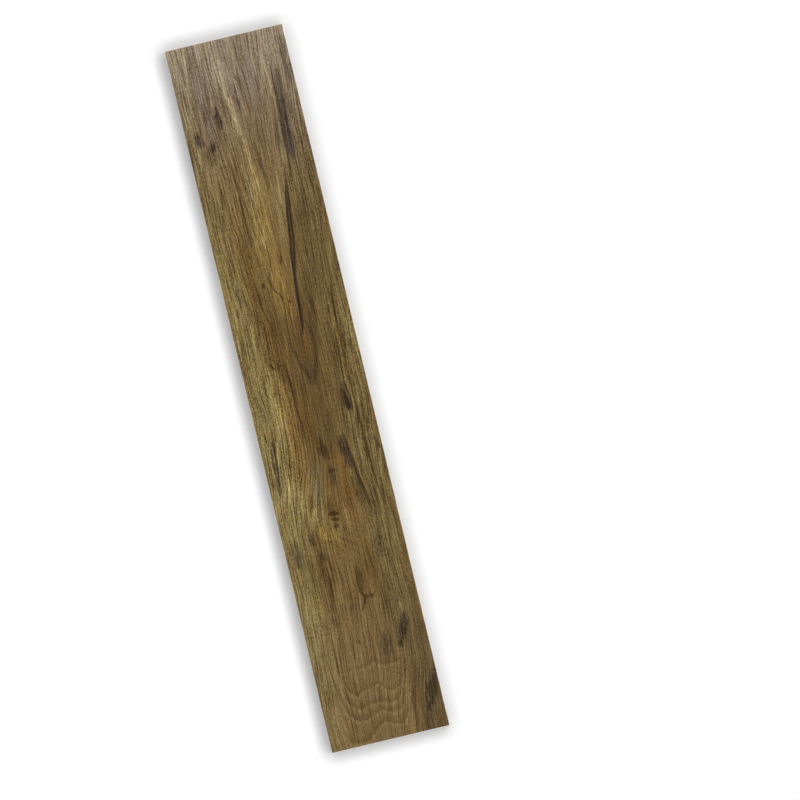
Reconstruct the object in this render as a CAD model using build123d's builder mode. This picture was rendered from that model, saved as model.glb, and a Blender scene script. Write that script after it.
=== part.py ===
"""One peel and stick vinyl floor plank, lying face up.

The plank is a single piece of stock. Vinyl sheet is calendered, printed and embossed in one wide
web, and a steel die then punches the plank out of it. The die leaves square sides and a sharp lower
edge, and it draws the upper edge down into a small round shoulder on all four sides.

+Y runs along the grain, +X across the face and +Z up through the thickness. The origin is at the
middle of the adhesive back.
"""

import os

from build123d import *

# Driving dimensions, in millimetres.
INCH = 25.4
plank_length = 36 * INCH
plank_width = 6 * INCH
plank_thickness = 2.0
shoulder_radius = 0.3  # of the upper edge, where the die goes in

with BuildPart() as plank:
    with BuildSketch(Plane.XY):
        Rectangle(plank_width, plank_length)
    extrude(amount=plank_thickness)
    wear_face = plank.faces().sort_by(Axis.Z)[-1]
    fillet(wear_face.edges(), radius=shoulder_radius)
plank.part.label = "plank"

os.makedirs("parts", exist_ok=True)
export_step(plank.part, "parts/plank.step")
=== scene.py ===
"""A peel and stick vinyl plank, dressed: a rustic oak print under an embossed satin wear layer.

The print is drawn in millimetres on the face: across from the left edge to the right edge, and along
from the head end to the foot end. Lines and stains are placed over layers of fibres. The run of the
fibres and the crack are also pressed into the mesh, as an embossing roller does in register with the
print.
"""

import math

import bmesh
import bpy
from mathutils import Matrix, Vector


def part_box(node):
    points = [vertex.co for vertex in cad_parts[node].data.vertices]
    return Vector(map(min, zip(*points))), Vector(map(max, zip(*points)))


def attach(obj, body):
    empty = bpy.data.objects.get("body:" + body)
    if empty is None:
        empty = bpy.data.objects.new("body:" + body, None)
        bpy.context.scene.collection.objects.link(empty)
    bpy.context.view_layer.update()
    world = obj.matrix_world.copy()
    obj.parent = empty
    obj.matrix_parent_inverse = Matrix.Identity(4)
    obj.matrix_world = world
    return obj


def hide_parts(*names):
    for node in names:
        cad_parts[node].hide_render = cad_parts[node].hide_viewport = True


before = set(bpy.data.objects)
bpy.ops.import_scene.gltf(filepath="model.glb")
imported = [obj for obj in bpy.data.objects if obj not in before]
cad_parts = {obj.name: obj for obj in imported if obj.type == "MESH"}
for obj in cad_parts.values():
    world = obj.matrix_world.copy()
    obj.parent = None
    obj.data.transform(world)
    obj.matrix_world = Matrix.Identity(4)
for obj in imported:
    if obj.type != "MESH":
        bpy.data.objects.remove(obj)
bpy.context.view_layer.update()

# The plank's own sizes, in millimetres, from the frame.
MM = 0.001
low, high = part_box("plank")
plank_width = (high.x - low.x) / MM
plank_length = (high.y - low.y) / MM

# The face is fine across the grain and coarser along it, as the relief is.
face_columns = 280
face_rows = 320
shoulder_radius = 0.3
shoulder_steps = 4
# Edges that turn by more than this are shaded as sharp.
sharp_angle = math.radians(40)
# Which material of the mesh the sides and the back have. The face has the first.
SIDES, BACK = 1, 2

# Relief of the wear layer, in millimetres: depths, and how soft the walls of the crack are.
brushed_depth = 0.05
crack_depth = 0.22
crack_softness = 1.8
pore_depth = 0.08

# The wear layer: refraction, specular level, roughness of the face and of its pores, and their bump.
wear_ior = 1.5
wear_specular = 0.12
face_roughness = 0.5
pore_roughness = 0.65
pore_bump = 0.5
# The cut sides and the back: the size of their clouds in millimetres, detail, two colours and roughness.
CORE = (0.6, 2.0, "#4c463d", "#7c7466", 0.65)
PAPER = (3.0, 5.0, "#d3cab6", "#ece5d6", 0.42)

# The photograph's framing: where the plank lies in its pixels.
picture_pixels = 800
middle_pixel = (307.1, 388.4)
length_pixels = 720.9
lean = math.radians(13.44)
lens = 100.0

# The light tent: its share of the light, the sine of the elevation where its wall starts, and how fast
# the wall darkens upwards. One side of the picture, in degrees from its right, is brighter by a swing.
tent_share = 0.95
tent_foot = 0.095
tent_fall = 5.0
bright_side = 25.0
bright_swing = 0.5

# The high fill lamp: its share of the light on the floor, and azimuth, elevation and spread in degrees.
fill_share = 0.06
fill_azimuth = 120.0
fill_elevation = 55.0
fill_spread = 30.0

# The floor: half its side in metres, its gap below the plank in millimetres, and from how many metres
# away to how many it fades into the white.
floor_half = 30.0
floor_gap = 0.02
FLOOR_FADE = (0.8, 2.5)
FLOOR_GREY, WHITE = "#d9d9d9", "#ffffff"

# Growth rings. The pith line wanders under the face, and the rings rise towards it or sink away from it,
# which draws the cathedral points: (along, across) and (along, rise in square millimetres).
PITH_LINE = ((0, 90), (170, 88), (455, 88), (540, 84), (620, 78), (700, 78), (914, 64))
RING_RISE = ((0, 0), (470, 3760), (914, 3760))
RING_RISE_FULL = 5000.0

# Fibres lean in towards the pith line and spread out again: (along, millimetres at fibre_reach from it).
FIBRE_LEAN = ((0, 0), (60, 2), (200, 10), (455, 15), (530, 15), (640, 5), (760, 4), (914, 14))
FIBRE_LEAN_FULL = 30.0
fibre_reach = 30.0
# How far fibres wander aside, in millimetres, and how far a millimetre aside shifts them along.
fibre_wander = 9.0
fibre_stagger = 9.0

# Where pale sapwood ends on the left and dark wood starts on the right: (along, across).
SAP_EDGE = (
    (0, 24), (150, 22), (300, 27), (400, 32), (470, 50), (560, 50), (620, 40), (700, 32), (800, 32),
    (850, 22), (914, 20),
)
DARK_EDGE = (
    (0, 127), (100, 123), (200, 112), (300, 102), (400, 108), (530, 102), (600, 118), (700, 110),
    (800, 116), (914, 122),
)
# How far to each side of these edges the woods blend, in millimetres.
edge_softness = 14.0
SAPWOOD, HEARTWOOD, DARK_WOOD = "#78653d", "#6b532e", "#665331"

# How light or dark each of the three woods is: (along, stops). The middle tone leaves it as it is.
SAP_TONE = (
    (0, 0.65), (100, 0.4), (190, 0.45), (250, 0.72), (340, 0.82), (430, 0.8), (500, 0.93), (560, 0.95),
    (620, 0.92), (680, 0.7), (740, 0.76), (810, 0.66), (914, 0.54),
)
HEART_TONE = (
    (0, 0.55), (60, 0.45), (110, 0.36), (160, 0.7), (230, 0.8), (290, 0.7), (340, 0.4), (420, 0.1),
    (500, 0.13), (570, 0.45), (640, 0.66), (700, 0.5), (750, 0.54), (810, 0.6), (914, 0.66),
)
DARK_TONE = (
    (0, 0.68), (60, 0.7), (114, 0.6), (170, 0.66), (230, 0.45), (290, 0.5), (360, 0.6), (420, 0.46),
    (500, 0.66), (560, 0.68), (650, 0.82), (720, 0.64), (760, 0.48), (810, 0.28), (860, 0.2),
    (914, 0.15),
)
middle_tone = 0.5

# How much of the colour a painted sheen veils in pale grey, from the head end: (along, share).
HEAD_SHEEN = (
    (0, 0.5), (40, 0.42), (80, 0.28), (120, 0.18), (170, 0.08), (240, 0.02), (300, 0.0), (680, 0.0),
    (800, 0.04), (914, 0.04),
)
# The pale grey of that painted sheen.
SHEEN_GREY = "#a89a87"

# Streaks of noise along the grain: width and length in millimetres, seed and detail. A seed moves them by
# a step across and a step along. Noise runs from 0 to 1 about its middle.
SEED_STEP = (17.3, 31.7)
noise_middle = 0.5
WANDER = (40.0, 130.0, 17.0, 3.0)
SIDE_PULL = (5.0, 16.0, 7.0, 2.0)
LONG_PULL = (1.6, 30.0, 6.0, 1.0)
LATE_BANDS = (5.0, 380.0, 12.0, 1.0)
LATE_FADE = (8.0, 90.0, 13.0, 1.0)
PORES = (0.9, 8.0, 8.0, 0.0)
STRAYS = (3.0, 200.0, 15.0, 1.0)
BREAKS = (1.3, 12.0, 11.0, 1.0)
BRUSHED = (2.0, 38.0, 9.0, 1.0)
# Where the noise of such streaks starts to count, and where it counts in full.
LATE_FADE_RANGE = (0.40, 0.62)
PORE_RANGE = (0.58, 0.74)
STRAY_RANGE = (0.45, 0.8)
BREAK_RANGE = (0.28, 0.72)
BRUSHED_RANGE = (0.42, 0.68)
# Grain layers of the print: what they follow, their streaks, and their swing in stops.
GRAIN_LAYERS = (
    ("fibres", (13.0, 280.0, 1.0, 2.0), 1.1),
    ("fibres", (3.4, 160.0, 10.0, 1.0), 1.5),
    ("fibres", (1.9, 110.0, 2.0, 1.0), 2.5),
    ("fibres", (1.05, 36.0, 16.0, 0.0), 4.2),
    ("flecks", (0.85, 9.0, 18.0, 0.0), 1.5),
    ("flecks", (0.9, 3.0, 3.0, 0.0), 3.0),
    ("rings", (9.0, 420.0, 5.0, 1.0), 1.0),
)
# Late wood lies where the noise of its bands is this near to the middle.
late_line = 0.035
# Changes in stops: of late wood, of open pores, and of painted shade on the drawn-down edge's lit rim.
late_stops = -0.6
pore_stops = -0.45
edge_shade_stops = -1.2
# Stray fibres: their colour, and how much of it shows at most.
STRAY_WOOD = "#71623a"
stray_share = 0.6
# How strongly a fibre takes a mark, from the least to the most.
TAKE_RANGE = (0.25, 1.75)
# How far the fibres pull marks and lines aside and along, in millimetres.
RAGGED = (5.0, 22.0)
FRAYED = (1.4, 1.8)
SERRATED = (1.4, 5.5)
# How strong the grain is: (along, share).
GRAIN_STRENGTH = (
    (0, 0.8), (200, 0.88), (300, 0.82), (400, 1.0), (560, 1.0), (650, 0.86), (760, 0.74), (914, 0.62),
)
# Light streaks are weaker than dark ones by this share.
light_streak_loss = 0.5
# A stop darkens or lightens the colours unevenly: dark grain is redder and light grain is greyer.
STOP = (1.80, 2.00, 2.20)

# Lines that run with the grain, as (along, across, half width), and arcs that lie across it,
# as (across, along, half height).
CRACK = (
    (158, 114.3, 0.0), (175, 113.0, 1.4), (190, 111.5, 1.7), (198, 110.5, 2.0), (205, 109.5, 2.9),
    (215, 107.8, 3.7), (225, 106.8, 4.2), (235, 105.2, 4.6), (250, 103.5, 4.4), (275, 100.2, 4.2),
    (300, 96.2, 3.9), (320, 93.4, 3.3), (335, 92.4, 3.0), (350, 91.2, 2.8), (365, 90.2, 2.7),
    (377, 89.0, 2.6), (386, 87.6, 2.0), (394, 86.4, 0.0),
)
CRACK_WALL = (
    (196, 110.0, 0.0), (215, 106.6, 1.5), (235, 103.4, 1.7), (260, 100.2, 1.7), (285, 96.6, 1.8),
    (300, 95.0, 2.0), (335, 91.6, 2.0), (365, 89.7, 2.0), (380, 88.2, 1.7), (392, 86.6, 0.0),
)
CRACK_FLOOR = (
    (205, 110.8, 0.0), (220, 109.0, 1.4), (240, 106.4, 1.5), (275, 102.2, 1.6), (300, 97.8, 1.5),
    (322, 94.4, 0.0),
)
HEAD_STAIN = (
    (46, 131.5, 0.0), (60, 130.8, 6.0), (75, 130.0, 7.6), (90, 129.0, 8.6), (110, 127.8, 9.0),
    (135, 126.4, 9.2), (150, 126.0, 9.0), (162, 126.2, 7.0), (174, 126.0, 0.0),
)
DARK_HEART = (
    (100, 82.5, 0.0), (130, 83.0, 2.4), (150, 83.5, 3.4), (170, 84.5, 4.0), (186, 86.0, 3.6),
    (200, 87.0, 0.0),
)
POINT_LEFT = (
    (330, 52.0, 0.0), (345, 56.0, 1.6), (360, 59.5, 2.0), (372, 62.0, 2.4), (385, 65.0, 2.3),
    (400, 69.0, 2.4), (415, 73.0, 3.8), (430, 77.0, 4.4), (445, 82.0, 3.8), (457, 86.0, 0.0),
)
POINT_RIGHT = (
    (370, 94.5, 0.0), (380, 96.5, 4.2), (392, 98.0, 4.4), (403, 99.5, 4.6), (415, 98.0, 4.8),
    (430, 94.5, 4.6), (445, 89.5, 4.0), (457, 86.0, 0.0),
)
DRY_SPLIT = (
    (303, 60.3, 0.0), (312, 61.5, 1.6), (323, 63.2, 1.8), (330, 67.5, 1.8), (336, 71.0, 1.8),
    (343, 75.0, 0.0),
)
LONG_VESSEL = (
    (330, 135.8, 0.0), (350, 134.0, 1.8), (370, 133.0, 2.1), (430, 131.6, 2.2), (500, 132.0, 2.2),
    (540, 132.2, 1.9), (570, 133.5, 1.7), (600, 135.5, 1.5), (645, 140.5, 0.0),
)
RIGHT_VESSEL = (
    (380, 127.8, 0.0), (402, 126.8, 1.7), (425, 126.0, 1.8), (445, 124.4, 1.6), (468, 123.0, 0.0),
)
MIDDLE_VESSEL = (
    (408, 54.6, 0.0), (430, 56.2, 1.6), (450, 57.0, 1.9), (490, 57.8, 2.2), (500, 58.8, 1.9),
    (535, 57.4, 0.0),
)
LEFT_VESSEL = (
    (295, 41.3, 0.0), (320, 42.6, 1.6), (340, 44.0, 1.7), (355, 46.0, 1.7), (370, 50.0, 1.5),
    (379, 52.0, 0.0),
)
HEART_VESSEL = (
    (145, 48.4, 0.0), (175, 49.0, 1.9), (200, 49.2, 1.7), (235, 48.6, 1.7), (255, 49.6, 1.8),
    (276, 52.0, 0.0),
)
HEAD_VESSEL = (
    (5, 85.6, 0.0), (25, 87.5, 1.6), (45, 89.3, 1.7), (60, 91.0, 1.7), (76, 92.4, 1.6),
    (98, 93.2, 0.0),
)
FLAME_EDGE = (
    (516, 106.4, 0.0), (532, 108.2, 2.4), (552, 110.4, 2.8), (575, 112.8, 2.8), (605, 117.4, 2.5),
    (620, 119.8, 1.9), (636, 122.2, 0.0),
)
KNOT_EDGE = (
    (682, 80.8, 0.0), (700, 81.4, 1.7), (720, 81.4, 1.9), (726, 82.8, 2.5), (732, 86.4, 2.8),
    (737, 84.8, 2.7), (744, 81.0, 2.5), (751, 78.6, 0.0),
)
KNOT_TAIL = ((666, 46.0, 0.0), (676, 50.0, 1.4), (686, 54.0, 1.3), (698, 57.5, 0.0))
FOOT_LEFT = ((795, 20.5, 0.0), (810, 21.2, 1.8), (826, 22.4, 1.8), (842, 24.0, 0.0))
FOOT_VESSEL = ((755, 33.4, 0.0), (780, 32.6, 1.5), (795, 31.8, 1.7), (812, 31.6, 1.7), (826, 31.6, 0.0))
FOOT_TAIL = ((878, 135.0, 0.0), (890, 131.0, 2.0), (900, 128.0, 2.0), (914, 125.0, 1.4))
SUN_STREAK = (
    (0, 61.0, 0.0), (30, 62.0, 3.8), (60, 63.0, 4.6), (80, 64.0, 5.2), (100, 66.0, 5.4),
    (120, 68.4, 5.2), (140, 70.2, 5.0), (160, 72.0, 4.6), (180, 74.5, 3.8), (210, 77.0, 0.0),
)
HEART_STREAK = (
    (145, 62.0, 0.0), (165, 62.0, 3.4), (195, 63.5, 3.6), (215, 66.0, 3.2), (260, 67.2, 3.2),
    (296, 66.0, 0.0),
)
STAIN_BANK = (
    (34, 123.0, 0.0), (65, 121.5, 3.2), (100, 120.0, 3.4), (130, 118.5, 3.4), (156, 117.5, 0.0),
)
SAP_STREAK = ((550, 25.0, 0.0), (575, 24.0, 3.8), (600, 22.5, 4.4), (622, 22.0, 0.0))
RING_ARCS = (
    (
        (20, 812.0, 0.0), (23, 836.0, 4.4), (27, 855.0, 4.4), (32, 870.0, 3.4), (37, 878.0, 2.4),
        (44, 881.5, 1.8), (52, 882.0, 1.8), (58, 879.5, 1.6), (67, 877.0, 1.4), (76, 874.5, 1.4),
        (83, 879.0, 1.6), (90, 880.3, 1.7), (97, 879.5, 1.6), (102, 872.0, 3.0), (108, 858.0, 3.6),
        (112, 845.0, 0.0),
    ),
    (
        (33, 818.0, 0.0), (36, 835.0, 3.4), (40, 844.0, 2.2), (45, 849.0, 1.9), (49, 851.5, 1.9),
        (53, 847.5, 1.8), (60, 845.0, 1.4), (68, 844.5, 1.4), (74, 842.0, 1.6), (77, 840.5, 1.6),
        (81, 845.5, 1.7), (87, 851.0, 1.6), (95, 852.5, 1.6), (103, 850.0, 1.6), (108, 843.0, 2.4),
        (113, 830.0, 0.0),
    ),
    (
        (30, 836.0, 0.0), (33, 850.0, 3.4), (38, 861.0, 2.4), (44, 866.0, 1.8), (50, 868.0, 1.8),
        (57, 865.0, 1.5), (66, 864.0, 1.3), (75, 863.0, 1.3), (83, 866.5, 1.6), (90, 868.0, 1.5),
        (97, 866.0, 1.6), (103, 858.0, 2.4), (108, 846.0, 0.0),
    ),
    (
        (21, 893.0, 0.0), (26, 905.0, 3.0), (33, 909.0, 2.0), (45, 909.5, 2.0), (54, 905.5, 2.0),
        (60, 899.5, 1.9), (67, 893.5, 1.8), (75, 890.0, 1.8), (82, 892.5, 1.7), (88, 896.0, 1.7),
        (97, 896.5, 1.6), (103, 890.0, 2.2), (109, 880.0, 0.0),
    ),
    (
        (28, 817.0, 0.0), (36, 818.5, 1.0), (50, 818.0, 0.9), (62, 817.5, 1.2), (72, 815.5, 1.6),
        (77, 812.0, 1.8), (82, 815.0, 1.7), (90, 819.5, 1.7), (100, 819.5, 1.5), (108, 819.0, 1.4),
        (115, 816.0, 0.0),
    ),
)
FAN_ARCS = (
    ((54, 650.0, 0.0), (60, 654.0, 1.8), (66, 660.0, 2.2), (72, 668.0, 2.4), (78, 677.0, 0.0)),
    ((66, 648.0, 0.0), (72, 651.0, 1.8), (80, 656.0, 2.1), (87, 661.0, 2.1), (93, 667.0, 0.0)),
    ((80, 667.0, 0.0), (86, 670.0, 1.8), (91, 675.0, 2.0), (95, 683.0, 0.0)),
)
RIGHT_KNOT = (
    ((112, 668.0, 0.0), (116, 663.5, 2.1), (121, 661.0, 2.1), (126, 664.0, 2.1), (130, 669.0, 0.0)),
    ((114, 673.0, 0.0), (118, 670.0, 1.8), (122, 669.0, 1.8), (126, 672.0, 1.8), (128, 675.0, 0.0)),
    ((113, 674.0, 0.0), (117, 678.0, 1.9), (122, 680.0, 2.0), (127, 677.0, 1.9), (130, 674.0, 0.0)),
    ((112, 680.0, 0.0), (118, 685.0, 1.9), (124, 685.5, 1.9), (131, 681.0, 1.8), (140, 682.0, 0.0)),
)
KNOT_STEM = ((600, 39.0, 0.0), (615, 37.0, 3.2), (630, 35.5, 3.8), (642, 36.0, 4.0), (656, 39.0, 0.0))
HEART_ARC = (
    (44, 655.0, 0.0), (52, 652.5, 1.6), (60, 652.5, 1.7), (70, 657.0, 1.7), (84, 668.0, 1.6),
    (92, 678.0, 0.0),
)
PALE_ARC = ((73, 846.0, 0.0), (78, 839.0, 1.5), (84, 834.0, 1.6), (94, 832.0, 1.6), (105, 831.0, 0.0))
KNOT_ARC = (
    (83, 731.0, 0.0), (88, 729.5, 2.3), (93, 731.0, 2.6), (97, 732.0, 3.2), (100, 729.0, 1.8),
    (104, 727.0, 0.0),
)
# Kinds of line: the softness of the edge in millimetres, the change in stops, the colour, how much of it
# shows and whether the fibres break it up.
LINE_KINDS = {
    "crack": (1.6, -1.0, "#5f4f36", 0.9, False),
    "core": (1.3, -1.15, "#4c4032", 0.7, False),
    "ash": (6.5, -1.3, "#665f53", 1.0, False),
    "burn": (1.8, -1.45, "#5e5138", 0.9, False),
    "shade": (3.0, -0.6, "#665535", 0.8, True),
    "point": (4.4, -0.62, "#625130", 0.8, False),
    "vessel": (1.6, -1.1, "#664e28", 0.8, False),
    "ring": (1.4, -0.5, "#69512e", 0.5, False),
    "knot": (1.6, -0.7, "#625436", 0.8, False),
    "late": (1.4, -0.36, "#69512e", 0.5, False),
    "early": (4.0, -0.22, "#69512e", 0.5, False),
    "spring": (4.0, 0.16, "#75613a", 0.5, False),
    "sun": (5.0, 0.5, "#7d683c", 0.8, True),
    "pale": (4.5, 0.36, "#7d6a41", 0.8, True),
}
LINES = (
    ("sun", SUN_STREAK), ("pale", HEART_STREAK), ("pale", STAIN_BANK), ("pale", SAP_STREAK),
    ("point", POINT_LEFT), ("point", POINT_RIGHT), ("crack", CRACK), ("vessel", DRY_SPLIT),
    ("core", CRACK_WALL), ("core", CRACK_FLOOR), ("ash", HEAD_STAIN), ("shade", DARK_HEART),
    ("vessel", LONG_VESSEL), ("vessel", RIGHT_VESSEL), ("vessel", MIDDLE_VESSEL),
    ("vessel", LEFT_VESSEL), ("vessel", HEART_VESSEL), ("ring", HEAD_VESSEL), ("burn", FLAME_EDGE),
    ("vessel", KNOT_EDGE), ("ring", KNOT_TAIL), ("shade", KNOT_STEM), ("ring", FOOT_LEFT),
    ("vessel", FOOT_VESSEL), ("ring", FOOT_TAIL),
)
# A growth ring darkens towards its late wood and the next one starts pale, so each ring has a soft dark
# band before its line and a soft light band after it: how far along they lie, and how many times as wide.
RING_BANDS = (("early", -2.5, 2.6), ("spring", 3.6, 2.4))
ARCS = (
    *(
        (kind, tuple((across, along + shift, spread * half) for across, along, half in arc))
        for kind, shift, spread in RING_BANDS
        for arc in RING_ARCS
    ),
    *(("late", arc) for arc in RING_ARCS),
    *(("ring", arc) for arc in FAN_ARCS),
    *(("knot", arc) for arc in RIGHT_KNOT),
    ("ring", HEART_ARC), ("pale", PALE_ARC), ("vessel", KNOT_ARC),
)

# Kinds of mark: the colour they bring, their change in stops, the share of their radius that is soft,
# and whether the fibres break them up.
MARK_KINDS = {
    "ash": ("#675f55", -1.35, 0.7, True),
    "stain": ("#635c45", -1.35, 0.7, True),
    "burn": ("#5c5135", -1.4, 0.7, True),
    "damp": ("#6a5f3f", -0.65, 0.7, True),
    "tick": ("#5f4a22", -1.2, 0.5, False),
    "shade": ("#66522e", -0.5, 1.0, True),
    "mauve": ("#74645a", -0.25, 1.0, True),
    "grey": ("#706545", 0.05, 1.0, True),
    "red": ("#674d23", 0.0, 1.0, True),
    "orange": ("#6f5226", 0.05, 1.0, True),
    "honey": ("#765829", 0.1, 1.0, True),
    "gold": ("#7a6231", 0.4, 1.0, True),
    "pale": ("#7b683f", 0.4, 1.0, True),
}
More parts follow.
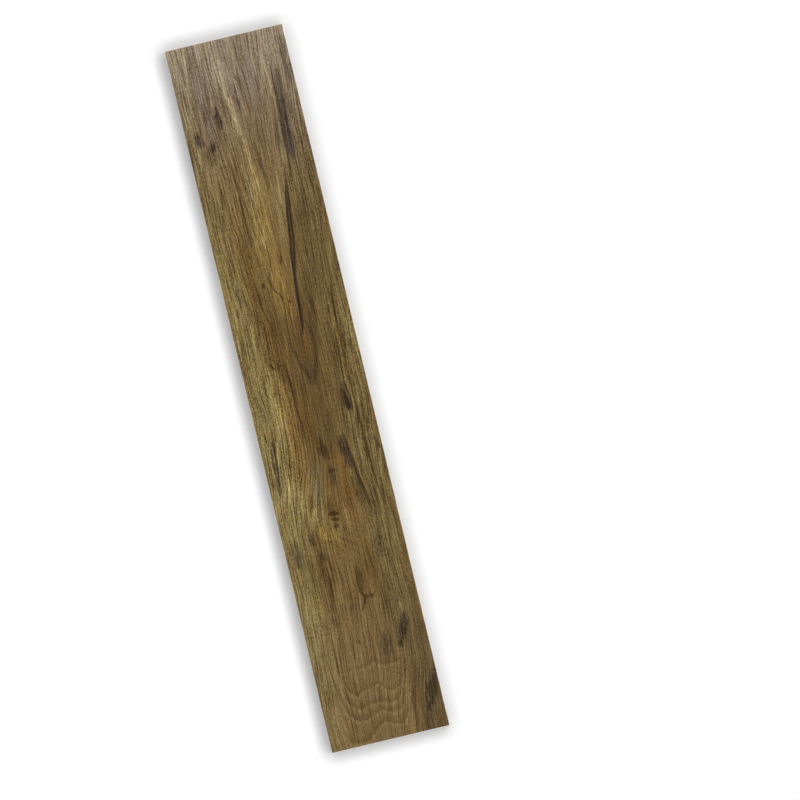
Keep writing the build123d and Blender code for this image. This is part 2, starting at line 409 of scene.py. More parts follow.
# Marks on the face: kind, across, along, half width, half length, turn in degrees and strength.
MARKS = (
    # Bands and short dark vessels of the head end.
    ("mauve", 33, 60, 14, 110, 0, 0.9),
    ("mauve", 72, 45, 12, 80, -4, 0.7),
    ("mauve", 96, 50, 16, 90, 0, 0.8),
    ("grey", 13, 40, 9, 80, 0, 0.8),
    ("grey", 54, 35, 9, 80, -4, 0.8),
    ("grey", 109, 70, 5, 70, 0, 0.7),
    ("pale", 117, 55, 8, 70, 0, 0.5),
    ("pale", 10, 60, 10, 90, 0, 0.3),
    ("pale", 22, 22, 3.4, 36, 0, 0.7),
    ("pale", 18, 60, 3, 36, 0, 0.6),
    ("pale", 105, 125, 4, 40, 3, 0.5),
    ("shade", 27.5, 33, 3.6, 32, 0, 1.3),
    ("shade", 29, 92, 2.8, 22, 0, 1.0),
    ("shade", 39, 68, 3.4, 36, 0, 1.0),
    ("shade", 82, 58, 4.4, 22, 0, 1.2),
    ("shade", 93, 30, 3.4, 26, -4, 0.9),
    ("shade", 106, 62, 3.2, 16, 0, 1.0),
    ("shade", 121, 28, 2.8, 18, 0, 0.8),
    ("shade", 96, 128, 3.2, 18, 0, 0.8),
    ("pale", 65, 100, 5, 50, 4, 1.4),
    ("ash", 75.5, 63, 2.0, 10, 0, 0.8),
    ("ash", 76, 86, 2.2, 9, 0, 0.9),
    ("ash", 147, 42, 6, 44, 0, 0.8),
    ("ash", 143, 90, 11, 76, 0, 0.15),
    ("ash", 124.5, 105, 2.0, 46, 2, 0.8),
    ("ash", 130, 118, 2.0, 46, 2, 0.7),
    ("ash", 122, 142, 2.0, 26, 2, 0.8),
    ("pale", 127, 110, 1.8, 44, 2, 0.9),
    ("pale", 133, 92, 1.8, 40, 2, 0.8),
    # Stains below the head end.
    ("ash", 46, 97, 5.5, 19, 0, 1.9),
    ("ash", 16, 121, 6, 14, -6, 1.35),
    ("ash", 31, 135, 6, 8, 0, 1.5),
    ("burn", 25, 143, 9, 14, 0, 0.4),
    ("ash", 114, 136, 3.2, 30, 5, 0.45),
    ("shade", 84.5, 172, 5, 28, 3, 0.9),
    ("pale", 5, 118, 5, 40, 0, 0.4),
    # The golden heart above the point, with red flanks.
    ("gold", 70, 240, 23, 140, 3, 0.75),
    ("gold", 82, 190, 18, 80, 8, 0.35),
    ("grey", 63, 190, 5, 36, 0, 0.6),
    ("gold", 76, 322, 15, 32, 8, 1.0),
    ("pale", 97, 225, 9, 60, 8, 0.6),
    ("pale", 90, 272, 8, 46, 8, 0.3),
    ("shade", 82.5, 286, 2.6, 22, 9, 0.8),
    ("red", 40, 275, 13, 90, 0, 0.8),
    ("shade", 35, 285, 6, 50, 0, 0.6),
    ("red", 53, 172, 5, 50, 0, 0.9),
    ("red", 112, 240, 5, 70, 7, 0.6),
    ("shade", 111, 258, 4, 40, 7, 0.6),
    ("shade", 122, 265, 12, 90, 3, 0.4),
    ("shade", 108, 348, 13, 80, 6, 1.2),
    ("gold", 76, 354, 13, 26, 5, 1.0),
    ("red", 87, 405, 12, 32, 0, 1.0),
    ("damp", 86, 440, 10, 24, 0, 0.4),
    ("shade", 75, 420, 5, 26, -14, 0.4),
    ("shade", 79, 437, 5, 22, -14, 0.6),
    ("shade", 94, 430, 4.6, 26, 9, 0.8),
    ("shade", 86, 447, 7, 14, 0, 0.3),
    ("shade", 83.5, 462, 2.4, 14, 0, 1.0),
    ("shade", 108, 355, 8, 28, 8, 0.7),
    ("red", 52, 400, 14, 60, 0, 0.7),
    ("gold", 104, 432, 6, 36, 3, 0.6),
    ("gold", 129, 405, 4, 66, 0, 0.6),
    ("gold", 36, 450, 11, 90, 0, 0.3),
    ("honey", 46, 490, 16, 130, 0, 0.65),
    ("honey", 44, 555, 10, 60, 0, 0.6),
    ("shade", 117, 400, 8, 60, 0, 0.8),
    ("pale", 147, 420, 9, 90, 0, 0.7),
    # Small marks round the point.
    ("damp", 19, 326, 6, 18, 0, 0.8),
    ("tick", 53, 318, 2.6, 4.4, 0, 1.1),
    ("pale", 57, 317, 2.6, 4.4, 0, 0.9),
    ("tick", 82, 291, 1.8, 8, 12, 0.7),
    ("tick", 80.5, 345, 2.6, 2.6, 20, 0.8),
    ("tick", 39.5, 421, 1.8, 7, -32, 0.9),
    ("tick", 12.8, 346, 1.7, 8, 0, 0.7),
    ("stain", 152, 316, 3.5, 10, 0, 1.0),
    ("pale", 18, 350, 4, 24, 0, 0.4),
    ("pale", 24, 385, 5, 50, 0, 0.3),
    # The quarter below the point.
    ("burn", 121.5, 480, 7, 26, 0, 1.45),
    ("burn", 122, 486, 4, 14, 0, 0.5),
    ("shade", 112, 483, 10, 28, 0, 0.8),
    ("red", 67, 500, 13, 66, 0, 1.0),
    ("pale", 12, 505, 5, 60, 0, 0.2),
    ("damp", 14, 470, 4, 22, 0, 0.4),
    ("damp", 17, 521, 3.8, 13, 0, 1.7),
    ("damp", 15, 547, 4.8, 26, 3, 1.1),
    ("tick", 10, 507, 1.7, 9, 0, 0.9),
    ("damp", 12.5, 572, 4, 18, 0, 1.3),
    ("grey", 61, 582, 10, 46, 10, 0.8),
    ("pale", 23, 585, 10, 50, 0, 0.4),
    ("burn", 77.5, 527, 3.4, 9, 0, 0.9),
    ("burn", 77.5, 540, 9, 11, 0, 1.0),
    ("shade", 80, 534, 9, 18, 0, 1.0),
    ("damp", 90, 515, 11, 26, 0, 0.3),
    ("burn", 82, 573, 6, 18, 0, 0.7),
    ("tick", 80, 566, 2.4, 3.4, 0, 0.7),
    ("tick", 85, 565.5, 2.8, 3.6, 0, 0.8),
    ("orange", 97, 590, 9, 70, -2, 0.9),
    ("orange", 90, 553, 9, 20, 0, 0.6),
    ("red", 74, 590, 6, 44, 0, 0.9),
    ("burn", 104.5, 547, 6, 25, -6, 0.75),
    ("stain", 104.5, 549, 7, 28, -6, 0.5),
    ("stain", 103, 536, 7, 12, 0, 0.6),
    ("shade", 110, 590, 7.5, 36, -9, 1.5),
    ("pale", 46.5, 619, 6.5, 20, 18, 1.8),
    ("gold", 52, 640, 10, 22, 0, 1.0),
    ("gold", 64, 650, 18, 16, 0, 0.5),
    ("tick", 72, 619.5, 9.0, 3.6, 6, 1.2),
    ("tick", 72.5, 627, 7.0, 3.2, 12, 1.0),
    ("tick", 71.5, 635.3, 4.6, 3.4, 0, 1.0),
    ("tick", 80.5, 641, 1.5, 5, 0, 0.5),
    ("stain", 146, 542, 3, 9, -20, 0.9),
    ("stain", 152, 556, 4, 16, 0, 0.7),
    ("burn", 37.5, 648, 8, 10, 0, 0.45),
    ("damp", 17, 648, 3.5, 10, 0, 0.6),
    ("damp", 15.5, 664, 9, 24, 0, 0.9),
    ("stain", 15, 667, 6, 15, 0, 0.4),
    ("tick", 13, 675, 1.8, 5, 0, 0.5),
    ("burn", 47, 669, 6, 8, 0, 0.7),
    ("shade", 40, 683, 10, 28, 0, 0.9),
    ("red", 68, 668, 12, 20, 0, 0.6),
    ("damp", 120, 668, 11, 34, 0, 0.5),
    # The foot end.
    ("shade", 85.5, 705, 6, 26, 0, 2.2),
    ("shade", 108, 748, 12, 40, 0, 0.5),
    ("red", 102, 690, 9, 60, 0, 1.0),
    ("shade", 102, 695, 8, 40, 0, 0.5),
    ("gold", 28, 733, 5.5, 28, 0, 0.8),
    ("grey", 79, 738, 7, 10, 0, 0.5),
    ("pale", 57.5, 728, 3.4, 20, 0, 0.6),
    ("shade", 46, 705, 10, 32, 0, 0.7),
    ("tick", 66.5, 742, 2.4, 6, 0, 0.4),
    ("burn", 42, 735, 3, 6, 0, 0.4),
    ("burn", 41, 754, 5.5, 10, 0, 0.5),
    ("pale", 129, 753, 6, 8, 0, 1.2),
    ("tick", 66, 786, 1.4, 6, 0, 0.6),
    ("stain", 123, 782, 8.5, 25, 22, 1.4),
    ("stain", 118, 796, 6, 12, 12, 0.8),
    ("stain", 98, 797, 11, 22, 0, 0.7),
    ("shade", 98, 790, 12, 28, 0, 0.5),
    ("stain", 141, 866, 10, 30, 22, 1.4),
    ("damp", 138, 882, 9, 36, 22, 0.6),
    ("stain", 152, 835, 5, 34, 8, 0.5),
    ("red", 45, 843, 12, 22, 0, 0.6),
    ("shade", 46, 843, 9, 12, 0, 0.5),
    ("shade", 122, 870, 12, 60, 12, 0.3),
    ("grey", 66, 856, 16, 9, 0, 0.4),
    ("red", 90, 843, 13, 9, 0, 0.5),
    ("gold", 101, 824, 11, 14, 0, 0.4),
    ("red", 42, 902, 18, 9, 0, 0.5),
    ("pale", 8, 730, 7, 120, 0, 0.3),
    ("pale", 12, 880, 7, 70, 0, 0.4),
)


def linear(hex_colour):
    """An sRGB hex colour as linear red, green, blue and alpha."""
    shares = [int(hex_colour[place:place + 2], 16) / 255 for place in (1, 3, 5)]
    return [s / 12.92 if s <= 0.04045 else ((s + 0.055) / 1.055) ** 2.4 for s in shares] + [1.0]


def add(tree, kind, feeds=(), out=None, **settings):
    """Adds a node with its settings, feeds its live inputs by place or by name, and gives an output."""
    node = tree.nodes.new(kind)
    for name, value in settings.items():
        setattr(node, name, value)
    live = [socket for socket in node.inputs if socket.enabled]
    pairs = feeds.items() if isinstance(feeds, dict) else enumerate(feeds)
    for key, value in pairs:
        socket = live[key] if isinstance(key, int) else next(s for s in live if s.name == key)
        if isinstance(value, bpy.types.NodeSocket):
            tree.links.new(value, socket)
        else:
            socket.default_value = value
    if out:
        return node.outputs[out]
    return next((socket for socket in node.outputs if socket.enabled), None)


def face_place(tree, position):
    """Millimetres on the face: across from the left edge, along from the head end."""
    to_face = (1 / MM, -1 / MM, 0.0)
    corner = (plank_width / 2, plank_length / 2, 0.0)
    return add(tree, "ShaderNodeVectorMath", [position, to_face, corner], operation="MULTIPLY_ADD")


def place_shares(tree, place):
    """Across and along as shares of the plank's width and length."""
    to_shares = (1 / plank_width, 1 / plank_length, 0.0)
    shares = add(tree, "ShaderNodeVectorMath", [place, to_shares], operation="MULTIPLY")
    across = add(tree, "ShaderNodeSeparateXYZ", [shares])
    return across, across.node.outputs["Y"]


def sized_curve(tree, share, points, run, full):
    """A size through (place, size) points, at a share of the run. It comes out as a share of full."""
    curve = add(tree, "ShaderNodeFloatCurve", {"Value": share})
    mapping = curve.node.mapping
    mapping.extend = "HORIZONTAL"
    drawn = mapping.curves[0].points
    first, *between, last = [(place / run, size / full) for place, size in points]
    drawn[0].location = first
    drawn[1].location = last
    for point in between:
        drawn.new(*point)
    for point in drawn:
        point.handle_type = "AUTO_CLAMPED"
    mapping.update()
    return curve


def streaks(tree, place, streak_width, streak_length, seed, detail):
    """Grain streaks of about that width and length, as noise from 0 to 1."""
    pitch = (1 / streak_width, 1 / streak_length, 0.0)
    start = (SEED_STEP[0] * seed, SEED_STEP[1] * seed, 0.0)
    drawn = add(tree, "ShaderNodeVectorMath", [place, pitch, start], operation="MULTIPLY_ADD")
    noise = {"Vector": drawn, "Scale": 1.0, "Detail": detail}
    return add(tree, "ShaderNodeTexNoise", noise, noise_dimensions="2D")


def figure_places(tree, place):
    """Where a point lies among the fibres, the flecks and the rings: across them and along, in mm."""
    across, along = place_shares(tree, place)
    along_mm = add(tree, "ShaderNodeMath", [along, plank_length], operation="MULTIPLY")
    pith = sized_curve(tree, along, PITH_LINE, plank_length, plank_width)
    aside = add(tree, "ShaderNodeMath", [across, pith], operation="SUBTRACT")
    aside = add(tree, "ShaderNodeMath", [aside, plank_width], operation="MULTIPLY")

    rise = sized_curve(tree, along, RING_RISE, plank_length, RING_RISE_FULL)
    squared = add(tree, "ShaderNodeMath", [aside, aside], operation="MULTIPLY")
    squared = add(tree, "ShaderNodeMath", [rise, RING_RISE_FULL, squared], operation="MULTIPLY_ADD")
    radius = add(tree, "ShaderNodeMath", [squared], operation="SQRT")
    rings = add(tree, "ShaderNodeCombineXYZ", [radius, along_mm])

    # The lean is nothing on the pith line, full at the reach and next to nothing at the plank's edges.
    reach = add(tree, "ShaderNodeMath", [aside, 1 / fibre_reach], operation="MULTIPLY")
    fade = add(tree, "ShaderNodeMath", [reach, reach], operation="MULTIPLY")
    fade = add(tree, "ShaderNodeMath", [fade, -0.5, 0.5], operation="MULTIPLY_ADD")
    fade = add(tree, "ShaderNodeMath", [fade], operation="EXPONENT")
    leaned = add(tree, "ShaderNodeMath", [reach, fade], operation="MULTIPLY")
    lean_here = sized_curve(tree, along, FIBRE_LEAN, plank_length, FIBRE_LEAN_FULL)
    leaned = add(tree, "ShaderNodeMath", [leaned, lean_here], operation="MULTIPLY")
    run = add(tree, "ShaderNodeMath", [leaned, FIBRE_LEAN_FULL, aside], operation="MULTIPLY_ADD")
    wander = streaks(tree, place, *WANDER)
    run = add(tree, "ShaderNodeMath", [wander, fibre_wander, run], operation="MULTIPLY_ADD")
    flecks = add(tree, "ShaderNodeCombineXYZ", [run, along_mm])
    # Long fibres start at a different place along the plank from their neighbours.
    staggered = add(tree, "ShaderNodeMath", [run, fibre_stagger, along_mm], operation="MULTIPLY_ADD")
    fibres = add(tree, "ShaderNodeCombineXYZ", [run, staggered])
    return {"fibres": fibres, "flecks": flecks, "rings": rings}


def ragged_place(tree, place, side, length):
    """The face with its fibres pulled unevenly, so that marks end in fibres and not in a clean rim."""
    side_pull = streaks(tree, place, *SIDE_PULL)
    long_pull = streaks(tree, place, *LONG_PULL)
    still = (noise_middle, noise_middle, 0.0)
    pull = add(tree, "ShaderNodeCombineXYZ", [side_pull, long_pull])
    pull = add(tree, "ShaderNodeVectorMath", [pull, still], operation="SUBTRACT")
    return add(tree, "ShaderNodeVectorMath", [pull, (side, length, 0.0), place], operation="MULTIPLY_ADD")


def drawn_line(tree, place, points, soft, lying=False):
    """How much of a drawn line covers a point, from 0 to 1. A lying line goes across the grain."""
    across, along = place_shares(tree, place)
    run, full = (plank_width, plank_length) if lying else (plank_length, plank_width)
    onward, beside = (across, along) if lying else (along, across)
    middle = sized_curve(tree, onward, [(at, side) for at, side, half in points], run, full)
    half_width = sized_curve(tree, onward, [(at, half) for at, side, half in points], run, full)
    aside = add(tree, "ShaderNodeMath", [beside, middle], operation="SUBTRACT")
    aside = add(tree, "ShaderNodeMath", [aside], operation="ABSOLUTE")
    inside = add(tree, "ShaderNodeMath", [half_width, aside], operation="SUBTRACT")
    return add(tree, "ShaderNodeMapRange", [inside, 0.0, soft / full], interpolation_type="SMOOTHSTEP")


def late_wood(tree, rings):
    """Thin dark lines that follow the growth rings and fade in and out."""
    bands = streaks(tree, rings, *LATE_BANDS)
    edge = add(tree, "ShaderNodeMath", [bands, noise_middle], operation="SUBTRACT")
    edge = add(tree, "ShaderNodeMath", [edge], operation="ABSOLUTE")
    edge = add(tree, "ShaderNodeMapRange", [edge, late_line, 0.0], interpolation_type="SMOOTHSTEP")
    fade = streaks(tree, rings, *LATE_FADE)
    fade = add(tree, "ShaderNodeMapRange", [fade, *LATE_FADE_RANGE])
    return add(tree, "ShaderNodeMath", [edge, fade], operation="MULTIPLY")


def open_pores(tree, flecks):
    """Short dashes along the grain, where the vessels are cut open."""
    pores = streaks(tree, flecks, *PORES)
    return add(tree, "ShaderNodeMapRange", [pores, *PORE_RANGE], interpolation_type="SMOOTHSTEP")


def grain_tone(tree, along, figure, pores):
    """The grain's tone in stops, lighter or darker than the ground."""
    tone = -noise_middle * sum(layer[-1] for layer in GRAIN_LAYERS)
    for ground, streak, swing in GRAIN_LAYERS:
        grain = streaks(tree, figure[ground], *streak)
        tone = add(tree, "ShaderNodeMath", [grain, swing, tone], operation="MULTIPLY_ADD")
    late = late_wood(tree, figure["rings"])
    tone = add(tree, "ShaderNodeMath", [late, late_stops, tone], operation="MULTIPLY_ADD")
    tone = add(tree, "ShaderNodeMath", [pores, pore_stops, tone], operation="MULTIPLY_ADD")
    light = add(tree, "ShaderNodeMath", [tone, 0.0], operation="MAXIMUM")
    tone = add(tree, "ShaderNodeMath", [light, -light_streak_loss, tone], operation="MULTIPLY_ADD")
    strength = sized_curve(tree, along, GRAIN_STRENGTH, plank_length, 1.0)
    return add(tree, "ShaderNodeMath", [tone, strength], operation="MULTIPLY")


def ground_wood(tree, place, fibres):
    """The wood's own tone and colour: pale sapwood on the left, heartwood, dark wood on the right."""
    across, along = place_shares(tree, place)
    soft = edge_softness / plank_width
    tone = sized_curve(tree, along, HEART_TONE, plank_length, 1.0)
    tint = linear(HEARTWOOD)
    woods = ((-soft, SAP_EDGE, SAP_TONE, SAPWOOD), (soft, DARK_EDGE, DARK_TONE, DARK_WOOD))
    for reach, edge, wood_tone, colour in woods:
        edge = sized_curve(tree, along, edge, plank_length, plank_width)
        share = add(tree, "ShaderNodeMath", [across, edge], operation="SUBTRACT")
        share = add(tree, "ShaderNodeMapRange", [share, -reach, reach], interpolation_type="SMOOTHSTEP")
        wood_tone = sized_curve(tree, along, wood_tone, plank_length, 1.0)
        tone = add(tree, "ShaderNodeMix", [share, tone, wood_tone], data_type="FLOAT")
        tint = add(tree, "ShaderNodeMix", [share, tint, linear(colour)], data_type="RGBA")
    strays = streaks(tree, fibres, *STRAYS)
    strays = add(tree, "ShaderNodeMapRange", [strays, *STRAY_RANGE, 0.0, stray_share])
    tint = add(tree, "ShaderNodeMix", [strays, tint, linear(STRAY_WOOD)], data_type="RGBA")
    return tone, tint


def painted_edge_shade(tree, place):
    """From 0 where the shoulder starts to 1 at its edge, for painted shade on the rim that catches the
    light.
    """
    middle = (plank_width / 2, plank_length / 2, 0.0)
    aside = add(tree, "ShaderNodeVectorMath", [place, middle], operation="SUBTRACT")
    aside = add(tree, "ShaderNodeVectorMath", [aside], operation="ABSOLUTE")
    left_over = add(tree, "ShaderNodeVectorMath", [middle, aside], operation="SUBTRACT")
    across = add(tree, "ShaderNodeSeparateXYZ", [left_over])
    nearest = add(tree, "ShaderNodeMath", [across, across.node.outputs["Y"]], operation="MINIMUM")
    return add(tree, "ShaderNodeMapRange", [nearest, shoulder_radius, 0.0])


def line_layer(tree, place, ragged, broken):
    """All lines as one layer: their tone in stops, their colour, and how much wood shows between them.

    Lines that the fibres break up come last. The lines are gathered apart from the marks, because the
    renderer can hold only so many values that wait to be used.
    """
    frayed = ragged_place(tree, place, *FRAYED)
    serrated = ragged_place(tree, place, *SERRATED)
    lines = [(kind, points, False) for kind, points in LINES]
    lines += [(kind, points, True) for kind, points in ARCS]
    tone, tint, clear = 0.0, linear("#000000"), 1.0
    for kind, points, lying in sorted(lines, key=lambda line: LINE_KINDS[line[0]][-1]):
        soft, stops, colour, shown, fibrous = LINE_KINDS[kind]
        ground = serrated if lying else ragged if fibrous else frayed
        line = drawn_line(tree, ground, points, soft, lying)
        if fibrous:
            line = add(tree, "ShaderNodeMath", [line, broken], operation="MULTIPLY")
        tone = add(tree, "ShaderNodeMath", [line, stops, tone], operation="MULTIPLY_ADD")
        line = add(tree, "ShaderNodeMath", [line, shown], operation="MULTIPLY")
        tint = add(tree, "ShaderNodeMix", [line, tint, linear(colour)], data_type="RGBA")
        clear = add(tree, "ShaderNodeMix", [line, clear, 0.0], data_type="FLOAT")
    return tone, tint, clear


def oak_print(tree, place):
    """The print's colour, and the open grain that the wear layer is pressed into."""
    figure = figure_places(tree, place)
    pores = open_pores(tree, figure["flecks"])
    along = place_shares(tree, place)[-1]
    grain = grain_tone(tree, along, figure, pores)
    tone, tint = ground_wood(tree, place, figure["fibres"])
    tone = add(tree, "ShaderNodeMath", [tone, grain], operation="ADD")
    tone = add(tree, "ShaderNodeMath", [tone, middle_tone], operation="SUBTRACT")

    ragged = ragged_place(tree, place, *RAGGED)
    broken = streaks(tree, figure["flecks"], *BREAKS)
    broken = add(tree, "ShaderNodeMapRange", [broken, *BREAK_RANGE, *TAKE_RANGE])
    for kind, side, at, half_width, half_length, turn, strength in MARKS:
        colour, stops, soft, fibrous = MARK_KINDS[kind]
        middle = (side, at, 0.0)
        turned = (0.0, 0.0, math.radians(turn))
        size = (half_width, half_length, 1.0)
        ground = ragged if fibrous else place
        mark = add(tree, "ShaderNodeMapping", [ground, middle, turned, size], vector_type="TEXTURE")
        mark = add(tree, "ShaderNodeTexGradient", [mark], out="Fac", gradient_type="SPHERICAL")
        if fibrous:
            mark = add(tree, "ShaderNodeMath", [mark, broken], operation="MULTIPLY")
        shown = [mark, 0.0, soft, 0.0, strength]
        mark = add(tree, "ShaderNodeMapRange", shown, interpolation_type="SMOOTHSTEP")
        tone = add(tree, "ShaderNodeMath", [mark, stops, tone], operation="MULTIPLY_ADD")
        tint = add(tree, "ShaderNodeMix", [mark, tint, linear(colour)], data_type="RGBA")

    line_tone, line_tint, clear = line_layer(tree, place, ragged, broken)
    tone = add(tree, "ShaderNodeMath", [tone, line_tone], operation="ADD")
    tint = add(tree, "ShaderNodeVectorMath", [tint, clear, line_tint], operation="MULTIPLY_ADD")

    # The head end is veiled in pale grey: a painted sheen, standing in for a highlight there.
    painted_sheen = sized_curve(tree, along, HEAD_SHEEN, plank_length, 1.0)
    tint = add(tree, "ShaderNodeMix", [painted_sheen, tint, linear(SHEEN_GREY)], data_type="RGBA")
    # Painted shade darkens the outermost shoulder, where the light would leave a bright rim.
    edge_shade = painted_edge_shade(tree, place)
    tone = add(tree, "ShaderNodeMath", [edge_shade, edge_shade_stops, tone], operation="MULTIPLY_ADD")
    gains = [add(tree, "ShaderNodeMath", [stop, tone], operation="POWER") for stop in STOP]
    gain = add(tree, "ShaderNodeCombineXYZ", gains)
    colour = add(tree, "ShaderNodeVectorMath", [tint, gain], operation="MULTIPLY")
    return colour, pores


def embossed_print():
    """Printed vinyl under a matt polyurethane wear layer, pressed with open grain.

    It gives the eye a soft satin sheen that breaks up along the pores, and no mirror image.
    """
    material = bpy.data.materials.new("embossed_oak_print_vinyl")
    material.use_nodes = True
    tree = material.node_tree
    shader = tree.nodes["Principled BSDF"]
    position = add(tree, "ShaderNodeTexCoord", out="Object")
    place = face_place(tree, position)
    colour, pores = oak_print(tree, place)
    tree.links.new(colour, shader.inputs["Base Color"])
    shader.inputs["IOR"].default_value = wear_ior
    shader.inputs["Specular IOR Level"].default_value = wear_specular
    rough = add(tree, "ShaderNodeMapRange", [pores, 0.0, 1.0, face_roughness, pore_roughness])
    tree.links.new(rough, shader.inputs["Roughness"])
    press = add(tree, "ShaderNodeMapRange", [pores, 0.0, 1.0, 1.0, 0.0])
    relief = {"Strength": pore_bump, "Distance": pore_depth * MM, "Height": press}
    bump = add(tree, "ShaderNodeBump", relief)
    tree.links.new(bump, shader.inputs["Normal"])
    return material


def clouded_material(name, cloud_size, detail, dark, light, roughness):
    """A dull material that is cloudy between two colours."""
    material = bpy.data.materials.new(name)
    material.use_nodes = True
    tree = material.node_tree
    shader = tree.nodes["Principled BSDF"]
    position = add(tree, "ShaderNodeTexCoord", out="Object")
    noise = {"Vector": position, "Scale": 1 / (cloud_size * MM), "Detail": detail}
    clouds = add(tree, "ShaderNodeTexNoise", noise)
    colour = add(tree, "ShaderNodeMix", [clouds, linear(dark), linear(light)], data_type="RGBA")
    tree.links.new(colour, shader.inputs["Base Color"])
    shader.inputs["Roughness"].default_value = roughness
    return material


def calendered_core():
    """Limestone-filled vinyl, cut by the die: a dull mid grey with fine mineral specks."""
    return clouded_material("calendered_filled_vinyl", *CORE)


def release_paper():
    """Siliconised kraft paper over the adhesive: pale, slick, and cloudy with its fibres."""
    return clouded_material("siliconised_release_paper", *PAPER)


def punched_blank():
    """The plank as the die leaves it: a face drawn down to a shoulder, square sides, a flat back."""
    flat_half = [(plank_width / 2 - shoulder_radius) * MM, (plank_length / 2 - shoulder_radius) * MM]
    bm = bmesh.new()
    bmesh.ops.create_grid(bm, x_segments=face_columns, y_segments=face_rows, size=1.0)
    bmesh.ops.scale(bm, vec=(flat_half[0], flat_half[1], 1.0), verts=bm.verts)
    bmesh.ops.translate(bm, vec=(0.0, 0.0, high.z), verts=bm.verts)

    def extrude_rim(half_before, half_after, drop):
        """Extrudes the open rim outwards and down, and gives the new faces."""
        rim = [edge for edge in bm.edges if edge.is_boundary]
        made = bmesh.ops.extrude_edge_only(bm, edges=rim)["geom"]
        ring = [item for item in made if isinstance(item, bmesh.types.BMVert)]
        spread = [after / before for after, before in zip(half_after, half_before)]
        bmesh.ops.scale(bm, vec=(spread[0], spread[1], 1.0), verts=ring)
        bmesh.ops.translate(bm, vec=(0.0, 0.0, -drop), verts=ring)
        return [item for item in made if isinstance(item, bmesh.types.BMFace)]

    half = flat_half
    dropped = 0.0
    for step in range(1, shoulder_steps + 1):
        turn = step / shoulder_steps * math.pi / 2
        next_half = [side + shoulder_radius * MM * math.sin(turn) for side in flat_half]
        next_drop = shoulder_radius * MM * (1 - math.cos(turn))
        extrude_rim(half, next_half, next_drop - dropped)
        half = next_half
        dropped = next_drop
    for face in extrude_rim(half, half, high.z - low.z - dropped):
        face.material_index = SIDES
    rim = [edge for edge in bm.edges if edge.is_boundary]
    back = bmesh.ops.triangle_fill(bm, edges=rim, use_beauty=True)["geom"]
    for face in (item for item in back if isinstance(item, bmesh.types.BMFace)):
        face.material_index = BACK
    bmesh.ops.recalc_face_normals(bm, faces=bm.faces)
    for face in bm.faces:
        face.smooth = True
    mesh = bpy.data.meshes.new("plank_embossed")
    bm.to_mesh(mesh)
    bm.free()
    return mesh


def embossing_roller():
    """Geometry nodes that press the grain and the crack down into the face."""
    tree = bpy.data.node_groups.new("embossing_roller", "GeometryNodeTree")
    tree.interface.new_socket("Geometry", in_out="INPUT", socket_type="NodeSocketGeometry")
    tree.interface.new_socket("Geometry", in_out="OUTPUT", socket_type="NodeSocketGeometry")
    blank = add(tree, "NodeGroupInput")
    position = add(tree, "GeometryNodeInputPosition")
    height = add(tree, "ShaderNodeSeparateXYZ", [position], out="Z")
    upper = add(tree, "ShaderNodeMath", [height, high.z / 2], operation="GREATER_THAN")
    place = face_place(tree, position)
    flecks = figure_places(tree, place)["flecks"]
    brushed = streaks(tree, flecks, *BRUSHED)
    pressed = [brushed, *BRUSHED_RANGE, 0.0, brushed_depth]
    depth = add(tree, "ShaderNodeMapRange", pressed, interpolation_type="SMOOTHSTEP")
    groove = drawn_line(tree, place, CRACK, crack_softness)
    depth = add(tree, "ShaderNodeMath", [groove, crack_depth, depth], operation="MULTIPLY_ADD")
    depth = add(tree, "ShaderNodeMath", [depth, -MM], operation="MULTIPLY")
    offset = add(tree, "ShaderNodeCombineXYZ", [0.0, 0.0, depth])
    move = {"Geometry": blank, "Selection": upper, "Offset": offset}
    embossed = add(tree, "GeometryNodeSetPosition", move)
    add(tree, "NodeGroupOutput", [embossed])
    return tree


def embossed_plank():
    """The plank with its relief pressed in, and its face, sides and back each in their own material."""
    blank = bpy.data.objects.new("plank_blank", punched_blank())
    bpy.context.scene.collection.objects.link(blank)
    blank.modifiers.new("emboss", "NODES").node_group = embossing_roller()
    pressed = blank.evaluated_get(bpy.context.evaluated_depsgraph_get())
    mesh = bpy.data.meshes.new_from_object(pressed)
    bpy.data.objects.remove(blank)
    mesh.materials.clear()
    for material in (embossed_print(), calendered_core(), release_paper()):
        mesh.materials.append(material)
    mesh.set_sharp_from_angle(angle=sharp_angle)
    plank = bpy.data.objects.new("embossed_plank", mesh)
    bpy.context.scene.collection.objects.link(plank)
    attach(plank, "root")
    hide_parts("plank")


def white_rays(tree):
    """1 on the rays that see the white studio: from the camera, off a gloss or through glass."""
    seen = add(tree, "ShaderNodeLightPath", out="Is Camera Ray")
    paths = seen.node.outputs
    for kind in ("Is Glossy Ray", "Is Transmission Ray"):
        seen = add(tree, "ShaderNodeMath", [seen, paths[kind]], operation="MAXIMUM")
    return seen


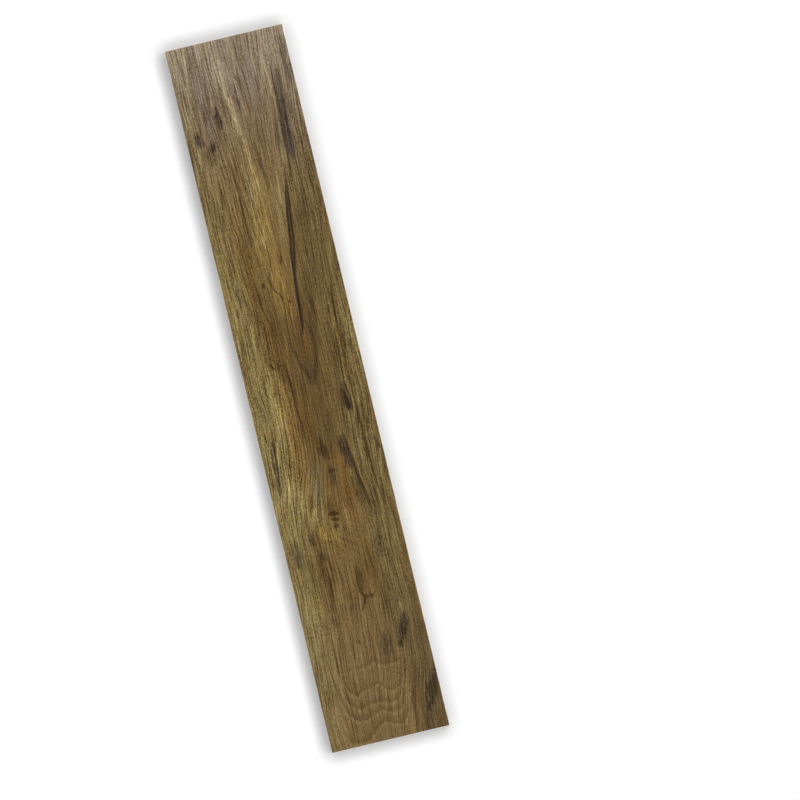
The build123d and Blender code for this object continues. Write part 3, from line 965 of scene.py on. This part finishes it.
def studio_floor():
    """A plain white floor that keeps the plank's shadow and fades into the white behind it."""
    bm = bmesh.new()
    bmesh.ops.create_grid(bm, x_segments=1, y_segments=1, size=floor_half)
    bmesh.ops.translate(bm, vec=(0.0, 0.0, -floor_gap * MM), verts=bm.verts)
    mesh = bpy.data.meshes.new("studio_floor")
    bm.to_mesh(mesh)
    bm.free()
    material = bpy.data.materials.new("white_studio_floor")
    material.use_nodes = True
    tree = material.node_tree
    tree.nodes.clear()
    seen = white_rays(tree)
    colour = add(tree, "ShaderNodeMix", [seen, linear(FLOOR_GREY), linear(WHITE)], data_type="RGBA")
    matt = add(tree, "ShaderNodeBsdfDiffuse", {"Color": colour})
    white = add(tree, "ShaderNodeEmission", {"Color": linear(WHITE), "Strength": 1.0})
    position = add(tree, "ShaderNodeTexCoord", out="Object")
    reach = add(tree, "ShaderNodeVectorMath", [position], operation="LENGTH")
    far = add(tree, "ShaderNodeMapRange", [reach, *FLOOR_FADE], interpolation_type="SMOOTHSTEP")
    far = add(tree, "ShaderNodeMath", [far, seen], operation="MULTIPLY")
    floor_shader = add(tree, "ShaderNodeMixShader", [far, matt, white])
    add(tree, "ShaderNodeOutputMaterial", [floor_shader])
    mesh.materials.append(material)
    floor = bpy.data.objects.new("studio_floor", mesh)
    bpy.context.scene.collection.objects.link(floor)


def high_fill():
    """A soft lamp from high up, turned as the photograph's view is."""
    lamp = bpy.data.lights.new("high_fill", "SUN")
    lamp.energy = fill_share * math.pi / math.sin(math.radians(fill_elevation))
    lamp.angle = math.radians(fill_spread)
    holder = bpy.data.objects.new("high_fill", lamp)
    holder.rotation_euler = (0.0, math.radians(90 - fill_elevation), math.radians(fill_azimuth) - lean)
    bpy.context.scene.collection.objects.link(holder)


def studio_light():
    """A white light tent, brightest near the floor, so that a thin plank has a soft wide shadow."""
    world = bpy.data.worlds.new("white_studio")
    bpy.context.scene.world = world
    world.use_nodes = True
    tree = world.node_tree
    tree.nodes.clear()
    direction = add(tree, "ShaderNodeTexCoord", out="Generated")
    height = add(tree, "ShaderNodeSeparateXYZ", [direction], out="Z")
    wall = add(tree, "ShaderNodeMath", [height, tent_foot], operation="GREATER_THAN")
    height = add(tree, "ShaderNodeMath", [height, tent_foot], operation="MAXIMUM")
    glow = add(tree, "ShaderNodeMath", [height, -tent_fall], operation="POWER")
    glow = add(tree, "ShaderNodeMath", [glow, wall], operation="MULTIPLY")
    turn = math.radians(bright_side) - lean
    towards = (bright_swing * math.cos(turn), bright_swing * math.sin(turn), 0.0)
    swing = add(tree, "ShaderNodeVectorMath", [direction, towards], out="Value", operation="DOT_PRODUCT")
    swing = add(tree, "ShaderNodeMath", [swing, 1.0], operation="ADD")
    glow = add(tree, "ShaderNodeMath", [glow, swing], operation="MULTIPLY")
    even_share = tent_share * (tent_fall - 2) / (2 * (tent_foot ** (2 - tent_fall) - 1))
    tent = add(tree, "ShaderNodeMath", [glow, even_share], operation="MULTIPLY")
    strength = add(tree, "ShaderNodeMix", [white_rays(tree), tent, 1.0], data_type="FLOAT")
    backdrop = add(tree, "ShaderNodeBackground", {"Color": linear(WHITE), "Strength": strength})
    add(tree, "ShaderNodeOutputWorld", [backdrop])
    high_fill()


def photograph_camera():
    """A long lens straight above, leaned and placed so that the plank lies as in the photograph."""
    pixel = plank_length * MM / length_pixels
    camera = bpy.data.cameras.new("photograph_camera")
    camera.lens = lens
    holder = bpy.data.objects.new("photograph_camera", camera)
    right = (math.cos(-lean), math.sin(-lean))
    up = (-math.sin(-lean), math.cos(-lean))
    aside = (picture_pixels / 2 - middle_pixel[0]) * pixel
    above = -(picture_pixels / 2 - middle_pixel[1]) * pixel
    distance = picture_pixels * pixel * lens / camera.sensor_width
    holder.location = (
        right[0] * aside + up[0] * above,
        right[1] * aside + up[1] * above,
        high.z + distance,
    )
    holder.rotation_euler = (0.0, 0.0, -lean)
    bpy.context.scene.collection.objects.link(holder)
    bpy.context.scene.camera = holder


embossed_plank()
studio_floor()
studio_light()
photograph_camera()
bpy.context.scene.view_settings.view_transform = "Standard"
